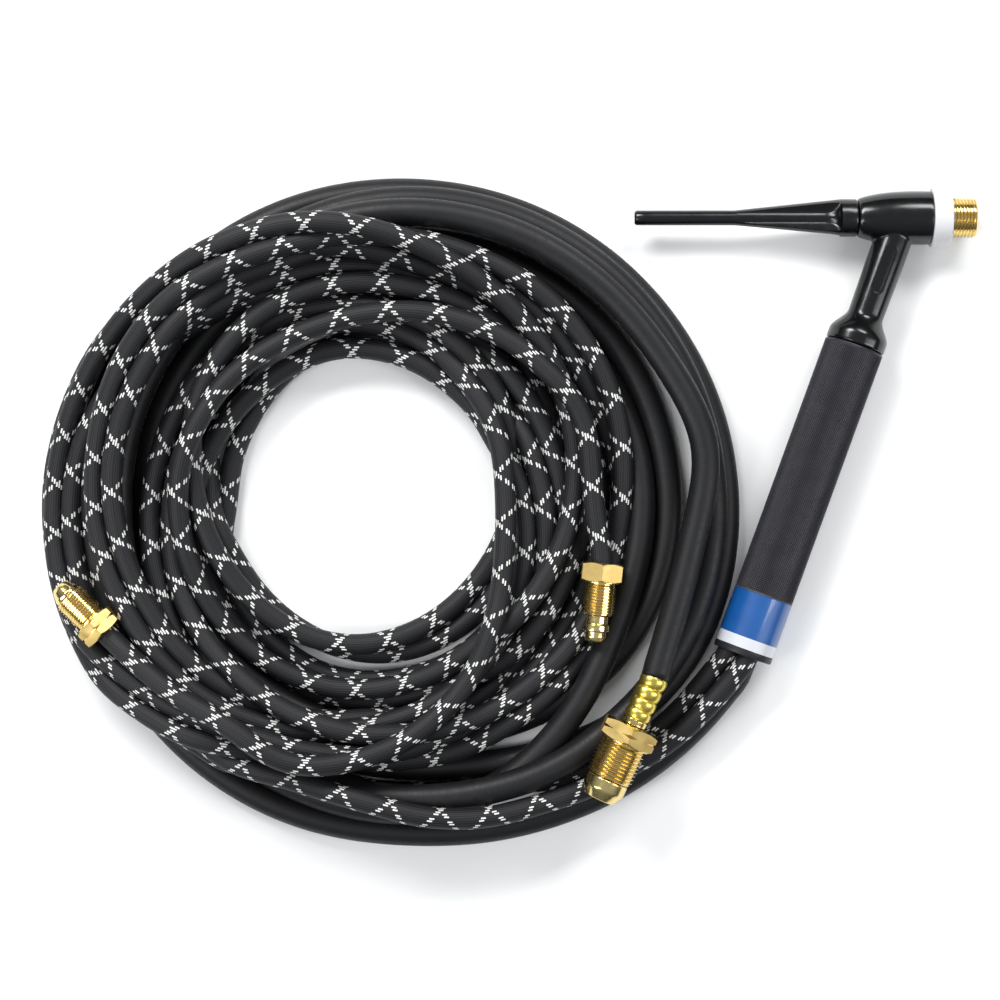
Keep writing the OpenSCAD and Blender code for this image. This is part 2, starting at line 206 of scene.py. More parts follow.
gasHose = {
    "radius": 5 * mm,
    "inHandle": (-7.1 * mm, 2.3 * mm),
    "lead": [[-.109, -.211, 0], [-.120, -.225, -.005], [-.132, -.238, -.008], [-.147, -.248, -.008],
             [-.163, -.255, -.001], [-.180, -.260, .008], [-.198, -.265, .016], [-.218, -.269, .019],
             [-.240, -.270, .022], [-.260, -.269, .022]],
    "angles": (8, 2420),       # where its winding starts and stops
    "layHeight": .022,
    # how it wanders across the heap: turns of a slow wave, then size, turns and start of a faster one
    "weave": (0.385, 0.10, 1.13, 0.15),
    "endShare": 0.74,          # how far out in the heap it ends, from 0 to 1
    "tail": [[-.170, -.124, .007], [-.169, -.134, .009], [-.168, -.143, .011], [-.166, -.153, .013],
             [-.1647, -.1632, .0135]],
    "fitting": (-.1647, -.1632, .0135),
    "fittingTurn": -96,
    "fittingShape": [(6, 9.8)],
    "step": 6 * mm,
    "twist": 0.09,             # how far it is twisted back and forth, in turns
    "smoothing": 3,
}
coolantHose = {
    "radius": 5 * mm,
    "inHandle": (2.5 * mm, 6.6 * mm),
    "lead": [[-.104, -.219, .006], [-.113, -.230, .005], [-.124, -.241, .005], [-.138, -.252, .005],
             [-.154, -.261, .005], [-.170, -.269, .005], [-.187, -.274, .006], [-.204, -.278, .010],
             [-.221, -.280, .015], [-.240, -.280, .019], [-.260, -.2775, .022]],
    "angles": (10, 2178),
    "layHeight": .0325,
    "weave": (0.44, 0.10, 1.21, 0.55),
    "endShare": 0.83,
    "tail": [[-.340, -.237, .018], [-.362, -.225, .017], [-.378, -.213, .017], [-.388, -.204, .0175],
             [-.3967, -.1962, .0175]],
    "fitting": (-.3967, -.1962, .0175),
    "fittingTurn": 135,
    "fittingShape": [(5, 9.8)],
    "step": 6 * mm,
    "twist": 0.09,             # how far it is twisted back and forth, in turns
    "smoothing": 3,
}
# the heap of hoses lies between these two ovals: centre, then half its size along X and Y
heap = {
    "inner": ((-.2795, -.1315), (.0635, .0725)),
    "outer": ((-.2865, -.137), (.1395, .133)),
    "perTurn": .0215,          # height that a turn starts over the one before it, before the heap settles
}


def ease(t):
    t = min(max(t, 0), 1)
    return t * t * (3 - 2 * t)


def onOval(centre, radii, angle):
    a = math.radians(angle)
    return np.array([centre[0] - radii[0] * math.sin(a), centre[1] - radii[1] * math.cos(a)])


def throughPoints(points, between=10):
    p = np.array(points, float)
    p = np.vstack([2 * p[0] - p[1], p, 2 * p[-1] - p[-2]])
    t = np.linspace(0, 1, between, endpoint=False)[:, None]
    spans = [0.5 * (2 * p[i] + (p[i + 1] - p[i - 1]) * t
                    + (2 * p[i - 1] - 5 * p[i] + 4 * p[i + 1] - p[i + 2]) * t ** 2
                    + (3 * p[i] - p[i - 1] - 3 * p[i + 1] + p[i + 2]) * t ** 3)
             for i in range(1, len(p) - 2)]
    return np.vstack(spans + [p[-2:-1]])


def evenly(points, step):
    along = np.concatenate([[0], np.cumsum(np.linalg.norm(np.diff(points, axis=0), axis=1))])
    at = np.linspace(0, along[-1], max(2, round(along[-1] / step)) + 1)
    return np.stack([np.interp(at, along, points[:, k]) for k in range(3)], 1)


def startOf(cord):
    return [alongHandle(*cord["inHandle"], distance) for distance in layout["hoseSteps"]]


def strandFor(cord, points, hold, lead=0):
    path = evenly(throughPoints(points), cord["step"])
    ropeEnd = len(path)
    turn = math.radians(cord["fittingTurn"])
    way = np.array([math.cos(turn), math.sin(turn), 0])
    radius = [cord["radius"]] * ropeEnd
    for count, size in cord["fittingShape"]:
        radius += [size * mm] * count
    steps = np.arange(1, len(radius) - ropeEnd + 1)[:, None]
    path = np.vstack([path, path[-1] + way * cord["step"] * steps])
    free = np.ones(len(path))
    free[:6] = 0
    free[ropeEnd - 1:] = 0
    hold = hold(path)
    hold[:lead] = 0.25
    return {"path": path, "radius": np.array(radius), "free": free, "hold": hold,
            "fittingFrom": ropeEnd - 1, "fittingZ": cord["fitting"][2]}


def powerStrand():
    points = startOf(powerCable) + powerCable["lead"]
    turns = powerCable["turns"]
    for angle in range(0, powerCable["lastAngle"], 18):
        turn, part = divmod(angle, 360)
        radius, up, shift = turns[turn]
        nextRadius, nextUp, nextShift = turns[min(turn + 1, len(turns) - 1)]
        blend = ease((part - 290) / 70)
        radius += (nextRadius - radius) * blend
        shift += (nextShift - shift) * blend
        if turn and up < turns[turn - 1][1]:
            up += (turns[turn - 1][1] - up) * (1 - ease((part - 5) / 60))
        if nextUp > up:
            up += (nextUp - up) * ease((part - 225) / 65)
        x, y = onOval(powerCable["coilCentre"], (radius, radius), angle)
        points.append([x, y + shift, floorZ + powerCable["radius"] + up])
    points += powerCable["tail"]
    middle = powerCable["coilCentre"][0] - 0.04
    return strandFor(powerCable, points, lambda path: np.where(path[:, 0] > middle, 0.3, 0.05))


def hoseStrand(cord):
    points = startOf(cord) + cord["lead"]
    first, last = cord["angles"]
    slow, size, fast, phase = cord["weave"]
    for angle in range(first, last, 20):
        t = (angle - first) / 360
        share = (0.5 + 0.42 * math.cos(math.tau * slow * t) + size * math.sin(math.tau * (fast * t + phase))
                 - size * math.sin(math.tau * phase) * max(0, 1 - t))
        blend = ease((angle - (last - 110)) / 110)
        share = min(max(share + (cord["endShare"] - share) * blend, 0), 1)
        inside, outside = onOval(*heap["inner"], angle), onOval(*heap["outer"], angle)
        x, y = inside + (outside - inside) * share
        points.append([x, y, cord["layHeight"] + heap["perTurn"] * t])
    top = cord["layHeight"] + heap["perTurn"] * (last - first) / 360
    points += [[x, y, top] for x, y, z in cord["tail"]]

    def hold(path):
        pull = np.full(len(path), 0.08)
        pull[-25:] = 0.25
        return pull
    return strandFor(cord, points, hold, 70)


def closestShares(a, b, c, d):
    u, v, w = b - a, d - c, a - c
    uu, uv, vv = (u * u).sum(1), (u * v).sum(1), (v * v).sum(1)
    uw, vw = (u * w).sum(1), (v * w).sum(1)
    spread = uu * vv - uv * uv
    s = np.where(spread > 1e-15, np.clip((uv * vw - vv * uw) / np.maximum(spread, 1e-15), 0, 1), 0.5)
    t = np.clip((uv * s + vw) / vv, 0, 1)
    return np.clip((uv * t - uw) / uu, 0, 1), t


def nearbyPairs(points, seg, segRadius, segFree, owner):
    middle = 0.5 * (points[seg] + points[seg + 1])
    found = []
    for start in range(0, len(middle), 400):
        apart = ((middle[start:start + 400, None, :] - middle[None, :, :]) ** 2).sum(2)
        i, j = np.nonzero(apart < (segRadius[start:start + 400, None] + segRadius[None, :] + 0.012) ** 2)
        found.append(np.stack([i + start, j])[:, j > i + start])
    i, j = np.hstack(found)
    keep = ((owner[i] != owner[j]) | (j - i > 8)) & (segFree[i] + segFree[j] > 0)
    return i[keep], j[keep]


def settle(strands, steps, drop):
    # lets the strands down onto the floor and each other, a little at a time, and keeps their length and bend
    points = np.vstack([s["path"] for s in strands])
    radius, free, hold = (np.concatenate([s[key] for s in strands]) for key in ("radius", "free", "hold"))
    plan = points[:, :2].copy()
    first = np.cumsum([0] + [len(s["path"]) for s in strands])
    spans = list(zip(first, first[1:]))
    seg = np.concatenate([np.arange(a, b - 1) for a, b in spans])
    owner = np.concatenate([np.full(b - a - 1, k) for k, (a, b) in enumerate(spans)])
    rest = np.linalg.norm(points[seg + 1] - points[seg], axis=1)
    segRadius = np.maximum(radius[seg], radius[seg + 1])
    segFree = free[seg] + free[seg + 1]
    bends = []
    for reach, amount in ((1, 0.3), (3, 0.35), (6, 0.35)):
        mid = np.concatenate([np.arange(a + reach, b - reach) for a, b in spans])
        natural = (points[mid - reach] - 2 * points[mid] + points[mid + reach]) * [1, 1, 0]
        bends.append((reach, amount, mid, natural))
    carried = [(a + s["fittingFrom"], b, s["fittingZ"]) for s, (a, b) in zip(strands, spans)]
    for step in range(steps):
        if step % 10 == 0:
            i, j = nearbyPairs(points, seg, segRadius, segFree, owner)
        points[:, 2] -= drop * (1 if step < 0.75 * steps else 0.35) * free
        for a, b, low in carried:
            points[a:b, 2] = np.maximum(points[a:b, 2] - drop, low)
        points[:, :2] += (hold * free)[:, None] * (plan - points[:, :2])
        for part in (0, 1, 0, 1):
            a, length = seg[part::2], rest[part::2]
            d = points[a + 1] - points[a]
            size = np.maximum(np.linalg.norm(d, axis=1), 1e-9)
            slack = np.where(size < length, 0.25, 1)   # it gives way lengthwise before it kinks
            fix = (slack * (size - length) / size / np.maximum(free[a] + free[a + 1], 1e-9))[:, None] * d
            points[a] += fix * free[a, None]
            points[a + 1] -= fix * free[a + 1, None]
        for reach, amount, mid, natural in bends:
            pull = 0.125 * amount * (points[mid - reach] - 2 * points[mid] + points[mid + reach] - natural)
            change = np.zeros_like(points)
            change[mid] += 2 * pull
            change[mid - reach] -= pull
            change[mid + reach] -= pull
            points += change * free[:, None]
        for again in range(2):
            a, c = seg[i], seg[j]
            s, t = closestShares(points[a], points[a + 1], points[c], points[c + 1])
            apart = (points[a] + (points[a + 1] - points[a]) * s[:, None]
                     - points[c] - (points[c + 1] - points[c]) * t[:, None])
            gap = np.linalg.norm(apart, axis=1)
            need = segRadius[i] + segRadius[j] - gap
            k = np.nonzero(need > 0)[0]
            s, t, a, c = s[k], t[k], a[k], c[k]
            way = apart[k] / np.maximum(gap[k], 1e-6)[:, None]
            shares = ((a, free[a] * (1 - s), 1), (a + 1, free[a + 1] * s, 1),
                      (c, free[c] * (1 - t), -1), (c + 1, free[c + 1] * t, -1))
            total = sum(share * part for (_, share, _), part in zip(shares, (1 - s, s, 1 - t, t)))
            push = need[k] / np.maximum(total, 1e-6)
            move, count = np.zeros_like(points), np.zeros(len(points))
            for at, share, sign in shares:
                for axis in range(3):
                    move[:, axis] += np.bincount(at, sign * push * share * way[:, axis], len(points))
                count += np.bincount(at, (share > 0).astype(float), len(points))
            points += move * (np.clip(count, 1, 1.6) / np.maximum(count, 1))[:, None]
            points[:, 2] = np.where(free > 0, np.maximum(points[:, 2], floorZ + radius), points[:, 2])
    for s, (a, b) in zip(strands, spans):
        s["path"] = points[a:b]


def smoothPath(strand, passes):
    # takes the last small kinks out
    path, free = strand["path"].copy(), strand["free"][:, None]
    for again in range(passes):
        middle = (path[:-2] + 2 * path[1:-1] + path[2:]) / 4
        path[1:-1] += (middle - path[1:-1]) * free[1:-1]
    return path


power = powerStrand()
gas = hoseStrand(gasHose)
coolant = hoseStrand(coolantHose)
settle([power], 450, 0.25 * mm)
power["free"][:] = 0       # the heavy cable lies still while the hoses come down on it
settle([power, gas, coolant], 500, 0.5 * mm)
power["free"][6:power["fittingFrom"]] = 1
print("cords settled")


def ringFrames(path):
    # a frame for every ring, carried along the path so that the surface doesn't twist
    way = np.gradient(path, axis=0)
    way /= np.linalg.norm(way, axis=1)[:, None]
    side = np.zeros_like(path)
    side[0] = np.cross(way[0], [0, 0, 1])
    for k in range(1, len(path)):
        carried = side[k - 1] - way[k] * np.dot(side[k - 1], way[k])
        side[k] = carried / np.linalg.norm(carried)
    side[0] /= np.linalg.norm(side[0])
    return side, np.cross(way, side)


def cordMesh(name, path, radius, sides, twist):
    side, over = ringFrames(path)
    along = np.concatenate([[0], np.cumsum(np.linalg.norm(np.diff(path, axis=0), axis=1))])
    turned = twist * math.tau * (np.sin(along * 5.1 + 1) + 0.7 * np.sin(along * 11.3))
    angle = np.arange(sides)[None, :, None] * math.tau / sides + turned[:, None, None]
    rings = path[:, None] + radius * (np.cos(angle) * side[:, None] + np.sin(angle) * over[:, None])
    count = len(path)
    faces = [[a + k, a + (k + 1) % sides, a + sides + (k + 1) % sides, a + sides + k]
             for a in range(0, (count - 1) * sides, sides) for k in range(sides)]
    faces += [list(range(sides - 1, -1, -1)), [(count - 1) * sides + k for k in range(sides)]]
    mesh = bpy.data.meshes.new(name)
    mesh.from_pydata(rings.reshape(-1, 3).tolist(), [], faces)
    # its own UV: metres along it, then the share of a turn round it
    layer = mesh.uv_layers.new(name="along")
    uv = np.zeros((len(mesh.loops), 2))
    row = np.repeat(np.arange(count - 1), sides)
    column = np.tile(np.arange(sides), count - 1)
    corners = [np.stack([along[row + ahead], (column + beside) / sides], 1)
               for ahead, beside in ((0, 0), (0, 1), (1, 1), (1, 0))]
    uv[:4 * len(row)] = np.stack(corners, 1).reshape(-1, 2)
    layer.data.foreach_set("uv", uv.ravel())
    mesh.polygons.foreach_set("use_smooth", [True] * (len(faces) - 2) + [False] * 2)
    mesh.update()
    return mesh


def addPiece(name, mesh, material, body, slot, *nodes):
    piece = bpy.data.objects.new(name, mesh)
    bpy.context.scene.collection.objects.link(piece)
    if material:
        mesh.materials.append(material)
    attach(piece, body)
    if nodes:
        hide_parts(*nodes)
    return piece


def makeBraid():
    # braided nylon sleeve: a black satin lattice of fine yarns, with one white tracer yarn wound each way
    material, tree, shader = startMaterial("braidedNylon", Roughness=0.55)
    shader.inputs["Specular IOR Level"].default_value = 0.3
    lay = 23.6 * mm            # length of one turn of a tracer
    rows = 27                  # rows of yarn round the hose
    yarn = 1.15 * mm           # half the length of a white stitch
    blackYarn = 1.3 * mm       # length of one float of a black yarn
    uv = addNode(tree, "UVMap", uv_map="along")
    parts = addNode(tree, "SeparateXYZ", {0: uv})
    along, around = parts.outputs[0], parts.outputs[1]
    rowAt = addNode(tree, "Math", {0: around, 1: float(rows)}, operation="MULTIPLY")
    row = addNode(tree, "Math", {0: rowAt}, operation="FLOOR")
    inRow = addNode(tree, "Math", {0: rowAt}, operation="FRACT")
    offRow = addNode(tree, "Math", {0: inRow, 1: 0.5, 2: 0.32}, operation="COMPARE")
    lays = addNode(tree, "Math", {0: along, 1: 1 / lay}, operation="MULTIPLY")
    masks = []
    for hand, start, offset in ((1, 0, 0.25), (-1, 1, 0.75)):
        shift = addNode(tree, "Math", {0: row, 1: hand / rows, 2: offset}, operation="MULTIPLY_ADD")
        phase = addNode(tree, "Math", {0: lays, 1: shift}, operation="ADD")
        turn = addNode(tree, "Math", {0: phase}, operation="FRACT")
        stitch = addNode(tree, "Math", {0: turn, 1: 0.5, 2: yarn / lay}, operation="COMPARE")
        rowFrom = addNode(tree, "Math", {0: row, 1: float(start)}, operation="ADD")
        third = addNode(tree, "Math", {0: rowFrom, 1: 3.0}, operation="MODULO")
        pair = addNode(tree, "Math", {0: third, 1: 1.5}, operation="LESS_THAN")
        both = addNode(tree, "Math", {0: stitch, 1: pair}, operation="MULTIPLY")
        masks.append(both)
    either = addNode(tree, "Math", {0: masks[0], 1: masks[1]}, operation="MAXIMUM")
    white = addNode(tree, "Math", {0: either, 1: offRow}, operation="MULTIPLY")
    # the black yarns: fine ribs along the hose, broken into short floats, painted paler on their crowns as
    # sheen and darker between them as shade
    ribs = addNode(tree, "Math", {0: around, 1: math.tau * rows}, operation="MULTIPLY")
    rib = addNode(tree, "Math", {0: ribs}, operation="SINE")
    floatAt = addNode(tree, "Math", {0: along, 1: math.tau / blackYarn}, operation="MULTIPLY")
    stagger = addNode(tree, "Math", {0: row, 1: math.pi, 2: floatAt}, operation="MULTIPLY_ADD")
    floats = addNode(tree, "Math", {0: stagger}, operation="SINE")
    ticks = addNode(tree, "Math", {0: floats, 1: 0.4, 2: 0.6}, operation="MULTIPLY_ADD")
    lattice = addNode(tree, "Math", {0: rib, 1: ticks}, operation="MULTIPLY")
    shade = addNode(tree, "MapRange", {0: lattice, 1: -1.0, 2: 0.8, 3: 0.0, 4: 1.0})
    # the black yarn colour carries painted sheen on the ribs and painted shade between them
    black = addNode(tree, "Mix", {0: shade, 6: srgb("010102"), 7: srgb("252528")}, data_type="RGBA")
    colour = addNode(tree, "Mix", {0: white, 6: black.outputs[2], 7: srgb("dededa")}, data_type="RGBA")
    tree.links.new(colour.outputs[2], shader.inputs["Base Color"])
    height = addNode(tree, "Math", {0: white, 1: 1.5, 2: shade}, operation="MULTIPLY_ADD")
    bump = addNode(tree, "Bump", {"Height": height, "Distance": 0.15 * mm, "Strength": 0.6})
    tree.links.new(bump.outputs[0], shader.inputs["Normal"])
    return material


def makeCableRubber():
    # cured rubber cover: dark satin grey with the faint imprint of the cloth it was wrapped in
    material, tree, shader = startMaterial("wrappedRubber")
    shader.inputs["Specular IOR Level"].default_value = 0.34
    uv = addNode(tree, "UVMap", uv_map="along")
    scaled = addNode(tree, "Mapping", {0: uv, 3: (1 / (1.1 * mm), 14, 1)})
    wrap = addNode(tree, "TexNoise", {"Vector": scaled, "Scale": 1.0, "Detail": 3.0})
    broad = addNode(tree, "Mapping", {0: uv, 3: (1 / (18 * mm), 2, 1)})
    patches = addNode(tree, "TexNoise", {"Vector": broad, "Scale": 1.0, "Detail": 2.0})
    tone = addNode(tree, "Math", {0: wrap, 1: 0.5}, operation="MULTIPLY")
    tone = addNode(tree, "Math", {0: patches, 1: 0.5, 2: tone}, operation="MULTIPLY_ADD")
    colour = addNode(tree, "Mix", {0: tone, 6: srgb("09090a"), 7: srgb("1a1a1c")},
                     data_type="RGBA")
    tree.links.new(colour.outputs[2], shader.inputs["Base Color"])
    rough = addNode(tree, "MapRange", {0: wrap, 1: 0.3, 2: 0.7, 3: 0.42, 4: 0.58})
    tree.links.new(rough.outputs[0], shader.inputs["Roughness"])
    bump = addNode(tree, "Bump", {"Height": wrap, "Distance": 0.1 * mm, "Strength": 0.35})
    tree.links.new(bump.outputs[0], shader.inputs["Normal"])
    return material


braid = makeBraid()
cableRubber = makeCableRubber()


def layCord(name, cord, strand, material, slot, sides, into):
    path = smoothPath(strand, cord["smoothing"])[:strand["fittingFrom"] + 1]
    turn = math.radians(cord["fittingTurn"])
    end = np.array(cord["fitting"]) + into * np.array([math.cos(turn), math.sin(turn), 0])
    fine = evenly(throughPoints(np.vstack([path[:-1], end]), 6), 3 * mm)
    mesh = cordMesh(name, fine, cord["radius"], sides, cord["twist"])
    nodes = (f"{name}_{part}" for part in ("lead", "coil", "tail"))
    piece = addPiece(name, mesh, material, "torch", slot, *nodes)
    length = float(np.linalg.norm(np.diff(fine, axis=0), axis=1).sum())
    return piece, fine, length


for name, cord, strand, material, slot, sides, into in (
        ("power_cable", powerCable, power, cableRubber, "cable_rubber", 32, -1.4 * mm),
        ("gas_hose", gasHose, gas, braid, "braid_cover", 24, 4.5 * mm),
        ("coolant_hose", coolantHose, coolant, braid, "braid_cover", 24, 4.5 * mm)):
    layCord(name, cord, strand, material, slot, sides, into)


# solids
def turned(profile, sides=96, closed=False):
    # spins a profile of (radius, distance along the axis) in millimetres round the Z axis
    bm = bmesh.new()
    verts = [bm.verts.new((r * mm, 0, z * mm)) for r, z in profile]
    pairs = list(zip(verts, verts[1:]))
    if closed:
        pairs.append((verts[-1], verts[0]))
    edges = [bm.edges.new(pair) for pair in pairs]
    bmesh.ops.spin(bm, geom=verts + edges, cent=(0, 0, 0), axis=(0, 0, 1), dvec=(0, 0, 0),
                   angle=math.tau, steps=sides, use_merge=True)
    return solidFrom(bm)


def solidFrom(bm):
    bmesh.ops.remove_doubles(bm, verts=bm.verts, dist=0.0001 * mm)
    bmesh.ops.recalc_face_normals(bm, faces=bm.faces)
    mesh = bpy.data.meshes.new("solid")
    bm.to_mesh(mesh)
    bm.free()
    made = bpy.data.objects.new("solid", mesh)
    bpy.context.scene.collection.objects.link(made)
    return made


def softened(profile, size, steps=4):
    # rounds off the corners of an open profile
    points = [Vector(p) for p in profile]
    made = [points[0]]
    for before, at, after in zip(points, points[1:], points[2:]):
        back, on = before - at, after - at
        reach = min(size, 0.45 * back.length, 0.45 * on.length)
        a, b = at + back.normalized() * reach, at + on.normalized() * reach
        for k in range(steps + 1):
            t = k / steps
            made.append(a * (1 - t) ** 2 + at * 2 * t * (1 - t) + b * t ** 2)
    return [tuple(p) for p in made + [points[-1]]]


def combined(base, other, operation):
    # joins, cuts or crosses two solids and keeps the result in the first
    cut = base.modifiers.new("cut", "BOOLEAN")
    cut.object = other
    cut.operation = operation
    cut.solver = "EXACT"
    return evaluated(base, other)


def evaluated(base, *others):
    graph = bpy.context.evaluated_depsgraph_get()
    graph.update()
    mesh = bpy.data.meshes.new_from_object(base.evaluated_get(graph))
    base.modifiers.clear()
    old = base.data
    base.data = mesh
    bpy.data.meshes.remove(old)
    for other in others:
        spare = other.data
        bpy.data.objects.remove(other)
        bpy.data.meshes.remove(spare)
    return base


def threaded(radius, pitch, start, end, sides=64):
    # a true screw thread with narrow crests and roots and a chamfer at each end
    depth = 0.64 * pitch
    turns = math.ceil((end - start) / pitch) + 3
    root = radius - depth
    ridge = [(root, 0), (root, 0.13), (radius - 0.04, 0.44), (radius - 0.04, 0.56), (root, 0.87), (root, 1)]
    bm = bmesh.new()
    verts = [bm.verts.new((r * mm, 0, (start + (t - 1.5) * pitch) * mm)) for r, t in ridge]
    edges = [bm.edges.new(pair) for pair in zip(verts, verts[1:])]
    bmesh.ops.spin(bm, geom=verts + edges, cent=(0, 0, 0), axis=(0, 0, 1), dvec=(0, 0, pitch * mm / sides),
                   angle=math.tau * turns, steps=sides * turns)
    bmesh.ops.remove_doubles(bm, verts=bm.verts, dist=0.001 * mm)
    for level, side in ((start, -1), (end, 1)):
        bmesh.ops.bisect_plane(bm, geom=bm.verts[:] + bm.edges[:] + bm.faces[:], plane_co=(0, 0, level * mm),
                               plane_no=(0, 0, side), clear_outer=True)
        rim = [edge for edge in bm.edges if edge.is_boundary
               and all(abs(v.co.z - level * mm) < 0.001 * mm for v in edge.verts)]
        bmesh.ops.contextual_create(bm, geom=rim)
    rod = solidFrom(bm)
    low = root - 0.15
    lead = 0.9 * pitch
    shape = turned([(0, start - 1), (low, start - 1), (low, start), (low + lead, start + lead),
                    (radius + 1, start + lead), (radius + 1, end - lead), (low + lead, end - lead),
                    (low, end), (low, end + 1), (0, end + 1)])
    return combined(rod, shape, "INTERSECT")


def cylinder(radius, start, end, sides=96):
    return turned([(0, start), (radius, start), (radius, end), (0, end)], sides)


def finished(made, name, matrix, material, body, slot, *nodes, sharp=35, flats=None):
    # puts the place of a solid into its mesh and makes it a piece of the object
    for face in made.data.polygons:
        face.material_index = int(bool(flats) and flats[0] < face.center.z < flats[1] and face.area > 4e-6)
    made.data.transform(matrix)
    bm = bmesh.new()
    bm.from_mesh(made.data)
    bmesh.ops.remove_doubles(bm, verts=bm.verts, dist=0.0005 * mm)
    bmesh.ops.dissolve_degenerate(bm, edges=bm.edges, dist=0.0005 * mm)
    bmesh.ops.recalc_face_normals(bm, faces=bm.faces)
    bm.to_mesh(made.data)
    bm.free()
    mesh = made.data.copy()
    mesh.name = name
    spare = made.data
    bpy.data.objects.remove(made)
    bpy.data.meshes.remove(spare)
    kinds = [face.material_index for face in mesh.polygons]
    mesh.materials.clear()
    mesh.polygons.foreach_set("use_smooth", [True] * len(mesh.polygons))
    mesh.set_sharp_from_angle(angle=math.radians(sharp))
    print("made", name, len(mesh.polygons), "faces")
    addPiece(name, mesh, material, body, slot, *nodes)
    if flats:
        mesh.materials.append(satinBrass)
    mesh.polygons.foreach_set("material_index", kinds)


# materials of the torch
def objectNoise(tree, size, detail=2.0, stretch=(1, 1, 1)):
    # noise whose spots are about that size, in metres
    at = addNode(tree, "TexCoord").outputs["Object"]
    scaled = addNode(tree, "Mapping", {0: at, 3: stretch})
    noise = addNode(tree, "TexNoise", {"Vector": scaled, "Scale": 1 / size, "Detail": detail})
    return noise


def makeBrass(name, bright, dark, roughness, grain):
    # bright turned brass, a little browner in patches, with fine tool marks that soften its reflections
    material, tree, shader = startMaterial(name, Metallic=1.0)
    patches = objectNoise(tree, 6 * mm)
    colour = addNode(tree, "Mix", {0: patches, 6: srgb(dark), 7: srgb(bright)}, data_type="RGBA")
    tree.links.new(colour.outputs[2], shader.inputs["Base Color"])
    marks = objectNoise(tree, 2 * mm, 2.0)
    rough = addNode(tree, "MapRange", {0: marks, 1: 0.3, 2: 0.7, 3: roughness - 0.03, 4: roughness + 0.04})
    tree.links.new(rough.outputs[0], shader.inputs["Roughness"])
    bump = addNode(tree, "Bump", {"Height": marks, "Distance": grain * mm, "Strength": 0.4})
    tree.links.new(bump.outputs[0], shader.inputs["Normal"])
    return material


def makeMoulded(name, code, roughness, grain):
    # moulded black phenolic or rubber: glossy skin with a slight orange peel
    material, tree, shader = startMaterial(name, Base_Color=srgb(code))
    peel = objectNoise(tree, 5 * mm, 1.0)
    rough = addNode(tree, "MapRange", {0: peel, 1: 0.3, 2: 0.7, 3: roughness - 0.03, 4: roughness + 0.03})
    tree.links.new(rough.outputs[0], shader.inputs["Roughness"])
    bump = addNode(tree, "Bump", {"Height": peel, "Distance": grain * mm, "Strength": 0.3})
    tree.links.new(bump.outputs[0], shader.inputs["Normal"])
    return material


def makeGrip():
    # matte grey nylon with painted highlights on the points of the knurl and painted shade in its grooves,
    # over faint random wear blotches
    material, tree, shader = startMaterial("gripNylon", Roughness=0.42)
    shader.inputs["Specular IOR Level"].default_value = 0.3
    rise = addNode(tree, "Attribute", attribute_name="rise").outputs["Fac"]
    worn = objectNoise(tree, 7 * mm)
    tone = addNode(tree, "Math", {0: worn, 1: 0.24, 2: -0.16}, operation="MULTIPLY_ADD")
    # each point's height paints highlights on the knurl's points and shade down in its grooves
    tone = addNode(tree, "Math", {0: rise, 1: tone}, operation="ADD", use_clamp=True)
    colour = addNode(tree, "Mix", {0: tone, 6: srgb("030304"), 7: srgb("48464e")}, data_type="RGBA")
    tree.links.new(colour.outputs[2], shader.inputs["Base Color"])
    return material


def makePtfe():
    # white PTFE: waxy and slightly see-through at its edges
    material, tree, shader = startMaterial("whitePtfe", Base_Color=srgb("cfcfd0"), Subsurface_Weight=0.2,
                                           Subsurface_Scale=1.2 * mm)
    shader.inputs["Subsurface Radius"].default_value = (1, 0.9, 0.8)
    spots = objectNoise(tree, 2.5 * mm)
    rough = addNode(tree, "MapRange", {0: spots, 1: 0.3, 2: 0.7, 3: 0.38, 4: 0.5})
    tree.links.new(rough.outputs[0], shader.inputs["Roughness"])
    return material


def makeLabel():
    # glossy printed film: blue field and a white strip towards the leads
    material, tree, shader = startMaterial("labelFilm", Roughness=0.35, Coat_Weight=0.6, Coat_Roughness=0.06)
    at = addNode(tree, "TexCoord").outputs["Object"]
    way = Vector(alongHandle(0, 0, 1)) - Vector(alongHandle(0, 0, 0))
    along = addNode(tree, "VectorMath", {0: at, 1: tuple(way)}, operation="DOT_PRODUCT").outputs["Value"]
    start = Vector(alongHandle(0, 0, 0)).dot(way)
    split = start + label["whiteFrom"]
    white = addNode(tree, "Math", {0: along, 1: split}, operation="GREATER_THAN")
    shade = objectNoise(tree, 9 * mm)
    blue = addNode(tree, "Mix", {0: shade, 6: srgb("0a4585"), 7: srgb("0f559b")}, data_type="RGBA")
    colour = addNode(tree, "Mix", {0: white, 6: blue.outputs[2], 7: srgb("c9ccd1")}, data_type="RGBA")
    tree.links.new(colour.outputs[2], shader.inputs["Base Color"])
    return material


label = {"whiteFrom": 211.7 * mm, "thick": 0.15}

brass = makeBrass("turnedBrass", "f0dc9c", "dcc07a", 0.18, 0.006)
satinBrass = makeBrass("milledBrass", "d6bd7c", "c0a260", 0.44, 0.02)
ferruleBrass = makeBrass("pressedBrass", "ecd872", "d2b94e", 0.3, 0.008)
copper = makeBrass("drawnCopper", "c77a4a", "a65c34", 0.3, 0.02)
headPlastic = makeMoulded("mouldedPhenolic", "060607", 0.2, 0.01)
capPlastic = makeMoulded("capPhenolic", "060607", 0.24, 0.01)
rubberRing = makeMoulded("ringRubber", "0a0a0a", 0.5, 0.02)
gripNylon = makeGrip()
ptfe = makePtfe()
labelFilm = makeLabel()
print("materials made")

